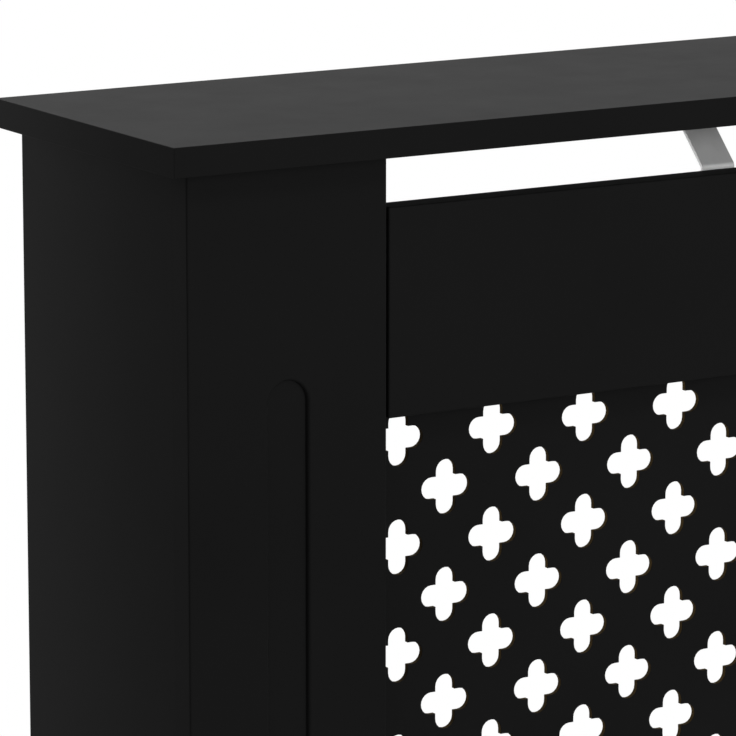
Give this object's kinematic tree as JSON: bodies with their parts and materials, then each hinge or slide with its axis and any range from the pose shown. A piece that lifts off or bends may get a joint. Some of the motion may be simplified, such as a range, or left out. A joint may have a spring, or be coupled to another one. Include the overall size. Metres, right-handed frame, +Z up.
{
  "type": "radiator cover",
  "caption": "Free-standing radiator cover: top board and side panels, front frame with a cross-pierced lattice, an air slot under the top, a toe gap and an open back.",
  "frame": {"origin": "on the floor, under the middle of the cover", "axes": "+X along the front from left to right, +Y back to the wall, +Z up"},
  "size_m": [1.02, 0.19, 0.815],
  "materials": {
    "black_lacquer": "satin black lacquer on medium-density fibreboard",
    "black_hardboard": "satin black lacquer on thin hardboard, with brown cut edges",
    "softwood": "planed, bare",
    "beech": "bare, fluted dowel",
    "satin_steel": "satin grey flat bar",
    "zinc": "bright zinc plate",
    "black_plastic": "moulded, matte"
  },
  "bodies": {
    "root": {"bottom_left_lattice_screw": "zinc", "bottom_middle_lattice_screw": "zinc", "bottom_rail": "black_lacquer", "bottom_right_lattice_screw": "zinc", "lattice_panel": "black_hardboard", "left_bottom_joining_plate": "zinc", "left_bottom_plate_inner_screw": "zinc", "left_bottom_plate_outer_screw": "zinc", "left_bottom_rail_dowel": "beech", "left_corner_batten": "softwood", "left_front_glide": "black_plastic", "left_front_top_dowel": "beech", "left_lattice_screw": "zinc", "left_rear_glide": "black_plastic", "left_rear_top_dowel": "beech", "left_side_panel": "black_lacquer", "left_stile": "black_lacquer", "left_strap": "satin_steel", "left_strap_rail_first_screw": "zinc", "left_strap_rail_second_screw": "zinc", "left_strap_top_first_screw": "zinc", "left_strap_top_second_screw": "zinc", "left_top_joining_plate": "zinc", "left_top_plate_inner_screw": "zinc", "left_top_plate_outer_screw": "zinc", "left_top_rail_dowel": "beech", "left_wall_bracket": "zinc", "left_wall_bracket_screw": "zinc", "right_bottom_joining_plate": "zinc", "right_bottom_plate_inner_screw": "zinc", "right_bottom_plate_outer_screw": "zinc", "right_bottom_rail_dowel": "beech", "right_corner_batten": "softwood", "right_front_glide": "black_plastic", "right_front_top_dowel": "beech", "right_lattice_screw": "zinc", "right_rear_glide": "black_plastic", "right_rear_top_dowel": "beech", "right_side_panel": "black_lacquer", "right_stile": "black_lacquer", "right_strap": "satin_steel", "right_strap_rail_first_screw": "zinc", "right_strap_rail_second_screw": "zinc", "right_strap_top_first_screw": "zinc", "right_strap_top_second_screw": "zinc", "right_top_joining_plate": "zinc", "right_top_plate_inner_screw": "zinc", "right_top_plate_outer_screw": "zinc", "right_top_rail_dowel": "beech", "right_wall_bracket": "zinc", "right_wall_bracket_screw": "zinc", "top_board": "black_lacquer", "top_left_lattice_screw": "zinc", "top_middle_lattice_screw": "zinc", "top_rail": "black_lacquer", "top_right_lattice_screw": "zinc"}
  },
  "joints": []
}
